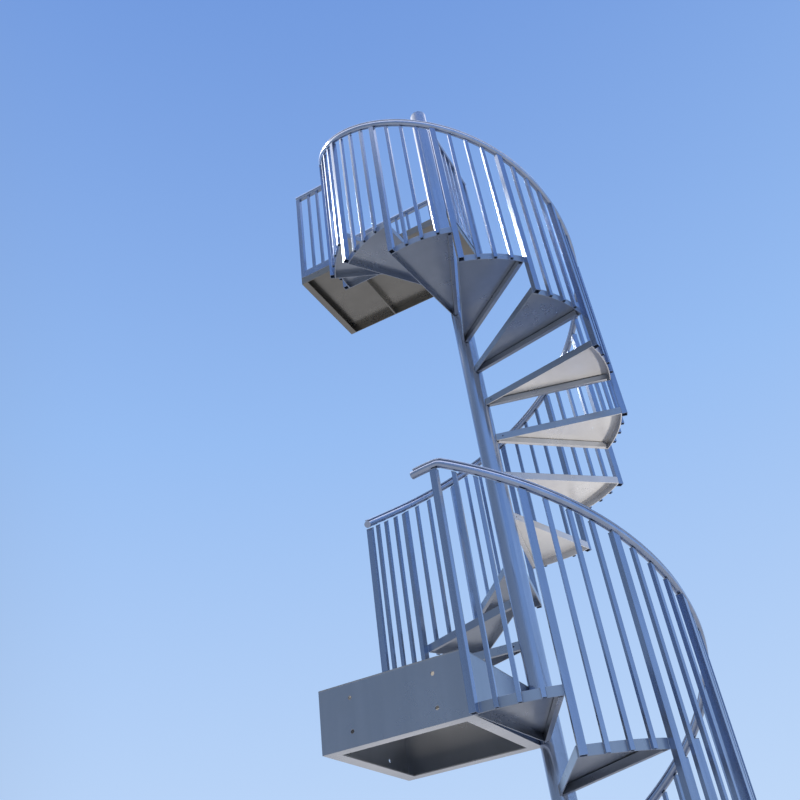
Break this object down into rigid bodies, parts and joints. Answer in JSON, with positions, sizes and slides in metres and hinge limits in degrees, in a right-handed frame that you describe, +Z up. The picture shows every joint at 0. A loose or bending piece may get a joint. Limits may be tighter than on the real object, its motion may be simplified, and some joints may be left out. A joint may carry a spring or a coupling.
{
  "type": "spiral fire escape stair tower",
  "caption": "Galvanised steel spiral fire escape stair: pan treads around a centre column, helical handrail on square balusters, a middle landing and a guarded top landing.",
  "frame": {"origin": "centre of the base plate's underside, at ground level on the column's axis", "axes": "+Z up along the column, -X towards the building wall, -Y towards the front of the middle landing"},
  "size_m": [1.9237, 1.5873, 7.132],
  "materials": {
    "galvanised_steel": "satin",
    "weathered_galvanised_steel": "matte"
  },
  "bodies": {
    "root": {"column_pipe": "galvanised_steel", "column_cap": "galvanised_steel", "lower_tread_1": "galvanised_steel", "lower_tread_2": "galvanised_steel", "lower_tread_3": "galvanised_steel", "lower_tread_4": "galvanised_steel", "lower_tread_5": "galvanised_steel", "lower_tread_6": "galvanised_steel", "lower_tread_7": "galvanised_steel", "lower_tread_8": "galvanised_steel", "lower_tread_9": "galvanised_steel", "lower_tread_10": "galvanised_steel", "lower_tread_11": "galvanised_steel", "upper_tread_1": "galvanised_steel", "upper_tread_2": "galvanised_steel", "upper_tread_3": "galvanised_steel", "upper_tread_4": "galvanised_steel", "upper_tread_5": "galvanised_steel", "upper_tread_6": "galvanised_steel", "upper_tread_7": "galvanised_steel", "upper_tread_8": "galvanised_steel", "upper_tread_9": "galvanised_steel", "upper_tread_10": "galvanised_steel", "upper_tread_11": "galvanised_steel", "upper_tread_12": "galvanised_steel", "upper_tread_13": "galvanised_steel", "mid_landing_plate": "galvanised_steel", "mid_landing_frame": "galvanised_steel", "top_landing_panel": "galvanised_steel", "top_landing_extension": "galvanised_steel", "lower_posts": "galvanised_steel", "lower_balusters": "galvanised_steel", "lower_handrail": "galvanised_steel", "lower_rail_bar": "galvanised_steel", "upper_posts": "galvanised_steel", "upper_balusters": "galvanised_steel", "upper_handrail": "galvanised_steel", "upper_rail_bar": "galvanised_steel", "near_guard": "galvanised_steel", "far_guard": "galvanised_steel", "side_guard": "galvanised_steel", "base_plate": "weathered_galvanised_steel", "newel_foot": "weathered_galvanised_steel", "mid_landing_joists": "weathered_galvanised_steel"}
  },
  "joints": []
}
